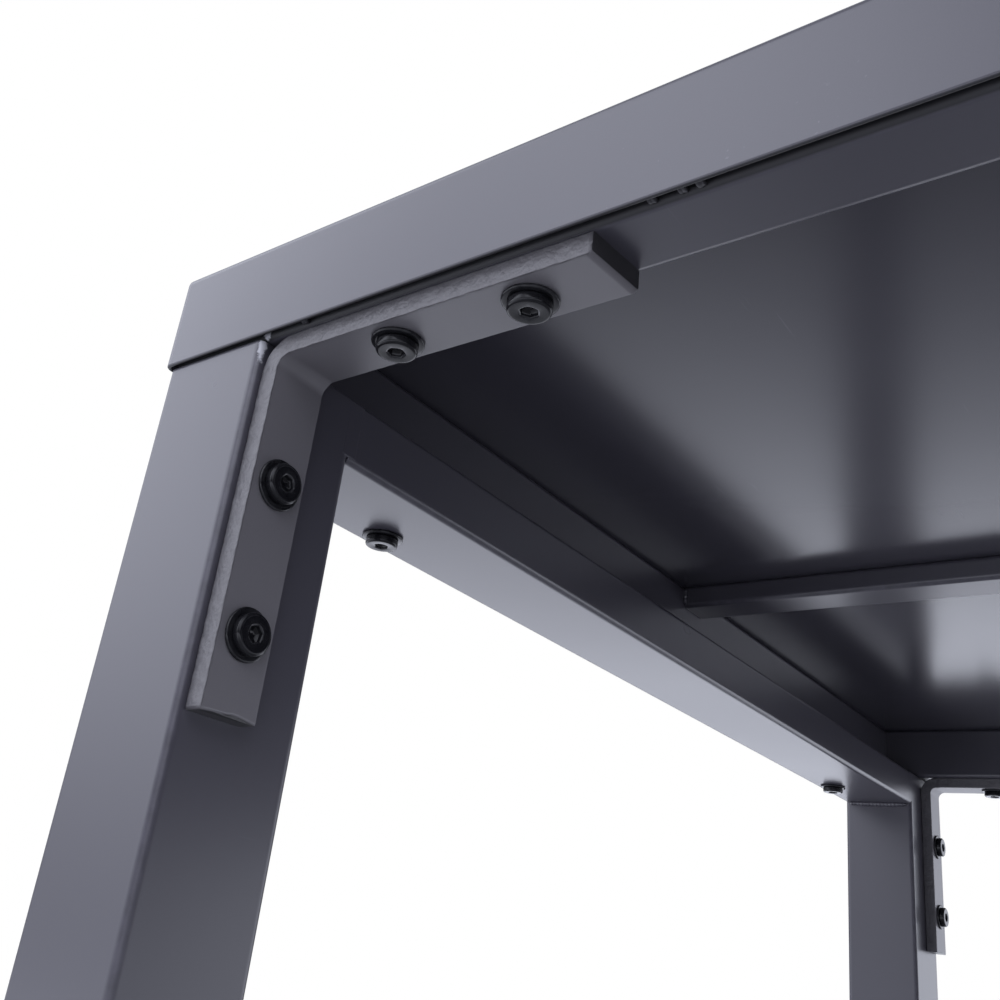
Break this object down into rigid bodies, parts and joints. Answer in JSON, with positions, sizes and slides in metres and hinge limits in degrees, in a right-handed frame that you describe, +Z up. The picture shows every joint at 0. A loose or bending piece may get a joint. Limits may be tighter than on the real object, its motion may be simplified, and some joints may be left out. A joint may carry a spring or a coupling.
{
  "type": "computer desk",
  "caption": "Steel computer desk with a folded-edge top, square-tube legs, bolted corner brackets and a pull-out keyboard tray.",
  "frame": {"origin": "on the floor under the middle of the desk top", "axes": "+X to the right, +Y to the back, +Z up; the front faces -Y"},
  "size_m": [1.2, 0.6, 0.75],
  "materials": {
    "frame_coat": "satin graphite powder coat",
    "panel_coat": "satin graphite powder coat on folded sheet",
    "black_screw": "glossy black",
    "zinc_steel": "bright zinc",
    "ball_steel": "polished",
    "black_plastic": "fine grain",
    "bumper_rubber": "matt"
  },
  "bodies": {
    "frame": {"bracket_back_left": "frame_coat", "bracket_back_right": "frame_coat", "bracket_front_left": "frame_coat", "bracket_front_right": "frame_coat", "bracket_nuts": "zinc_steel", "bracket_screws": "black_screw", "bracket_washers": "black_screw", "corner_welds": "frame_coat", "glide_back_left": "black_plastic", "glide_back_right": "black_plastic", "glide_front_left": "black_plastic", "glide_front_right": "black_plastic", "hanger_nuts": "zinc_steel", "hanger_screws": "black_screw", "leg_back_left": "frame_coat", "leg_back_right": "frame_coat", "leg_end_plates": "frame_coat", "leg_front_left": "frame_coat", "leg_front_right": "frame_coat", "side_nuts": "zinc_steel", "side_rail_left": "frame_coat", "side_rail_right": "frame_coat", "side_screws": "black_screw", "side_washers": "black_screw", "slide_bumper_left": "bumper_rubber", "slide_bumper_right": "bumper_rubber", "slide_outer_left": "zinc_steel", "slide_outer_right": "zinc_steel", "slide_screws_outer": "black_screw", "top_brace": "frame_coat", "top_pan": "panel_coat", "top_rail_back": "frame_coat", "top_rail_front": "frame_coat", "top_rail_left": "frame_coat", "top_rail_right": "frame_coat", "tray_carrier_left": "frame_coat", "tray_carrier_right": "frame_coat", "tray_hanger_left": "frame_coat", "tray_hanger_right": "frame_coat"},
    "tray": {"keyboard_tray": "panel_coat", "keyboard_stop": "panel_coat", "slide_inner_left": "zinc_steel", "slide_inner_right": "zinc_steel", "slide_screws_inner": "black_screw"},
    "cage_left": {"slide_cage_left": "zinc_steel", "slide_balls_left": "ball_steel"},
    "cage_right": {"slide_cage_right": "zinc_steel", "slide_balls_right": "ball_steel"}
  },
  "joints": [
    {"name": "tray_slide", "type": "slide", "parent": "frame", "child": "tray", "axis": [0, -1, 0], "range_m": [0, 0.22]},
    {"name": "cage_slide_left", "type": "slide", "parent": "frame", "child": "cage_left", "axis": [0, -1, 0], "range_m": [0, 0.11]},
    {"name": "cage_slide_right", "type": "slide", "parent": "frame", "child": "cage_right", "axis": [0, -1, 0], "range_m": [0, 0.11]}
  ],
  "couplings": [
    {"joint": "cage_slide_left", "follows": "tray_slide", "ratio": 0.5},
    {"joint": "cage_slide_right", "follows": "tray_slide", "ratio": 0.5}
  ]
}
